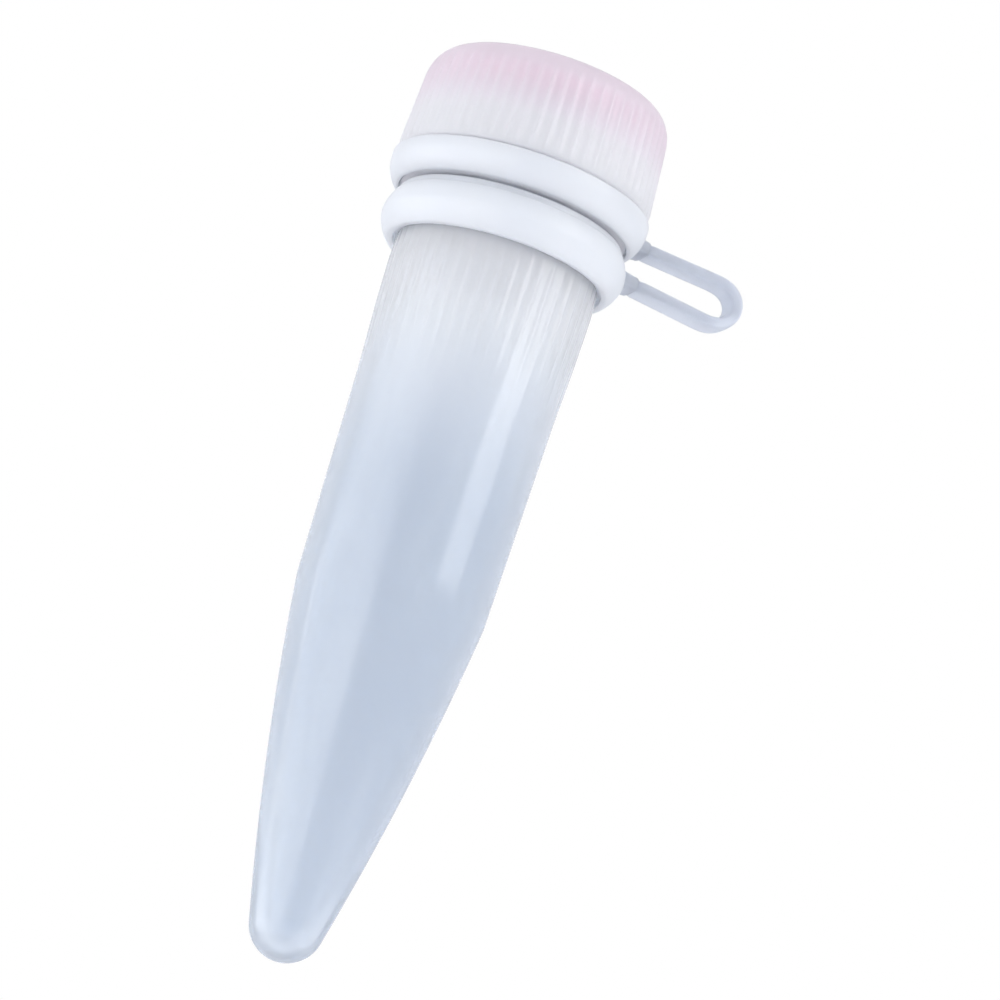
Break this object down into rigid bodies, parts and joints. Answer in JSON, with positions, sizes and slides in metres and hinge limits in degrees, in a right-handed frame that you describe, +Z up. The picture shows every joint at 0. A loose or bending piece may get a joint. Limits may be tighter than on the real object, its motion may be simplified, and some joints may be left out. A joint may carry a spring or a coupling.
{
  "type": "microcentrifuge tube",
  "caption": "Conical screw-cap microcentrifuge tube with a sealing ring and a cap held by a looped strap between two snap rings.",
  "frame": {"origin": "on the tube's axis, in the plane of the neck ring's flat underside, which rests on a rack", "axes": "+Z up the tube's axis towards the cap, +X towards the strap's loop"},
  "size_m": [0.0194, 0.0132, 0.0461],
  "materials": {
    "tube_plastic": "clear polypropylene, smooth",
    "cap_plastic": "natural polypropylene, satin",
    "strap_plastic": "natural polyethylene, satin",
    "seal_rubber": "silicone, matt"
  },
  "bodies": {
    "tube": {"tube_body": "tube_plastic"},
    "seal": {"o_ring": "seal_rubber"},
    "cap": {"screw_cap": "cap_plastic"},
    "tether_base": {"neck_ring": "strap_plastic"},
    "strap_low": {"strap_lower": "strap_plastic"},
    "strap_high": {"strap_upper": "strap_plastic"},
    "tether_top": {"cap_ring": "strap_plastic"}
  },
  "joints": [
    {"name": "cap_lift", "type": "slide", "parent": "tube", "child": "seal", "axis": [0, 0, 1], "range_m": [0, 0.0054]},
    {"name": "cap_turn", "type": "hinge", "parent": "seal", "child": "cap", "pos_m": [0, 0, 0], "axis": [0, 0, 1], "range_deg": [0, 972]},
    {"name": "tether_swivel", "type": "hinge", "parent": "tube", "child": "tether_base", "pos_m": [0, 0, 0], "axis": [0, 0, 1], "continuous": true},
    {"name": "ring_lift", "type": "slide", "parent": "tether_base", "child": "tether_top", "axis": [0, 0, 1], "range_m": [0, 0.0054]},
    {"name": "strap_root", "type": "hinge", "parent": "tether_base", "child": "strap_low", "pos_m": [0.00705, 0, 0.00182], "axis": [0, -1, 0], "range_deg": [0, 32.6]},
    {"name": "strap_bend", "type": "hinge", "parent": "strap_low", "child": "strap_high", "pos_m": [0.01245, 0, 0.0026], "axis": [0, -1, 0], "range_deg": [-61.9, 0]}
  ],
  "couplings": [
    {"joint": "cap_turn", "follows": "cap_lift", "rad_per_m": 3141.6},
    {"joint": "ring_lift", "follows": "cap_lift", "ratio": 1},
    {"joint": "strap_root", "follows": "cap_lift", "rad_per_m": 105.34},
    {"joint": "strap_bend", "follows": "cap_lift", "rad_per_m": -200.06}
  ]
}
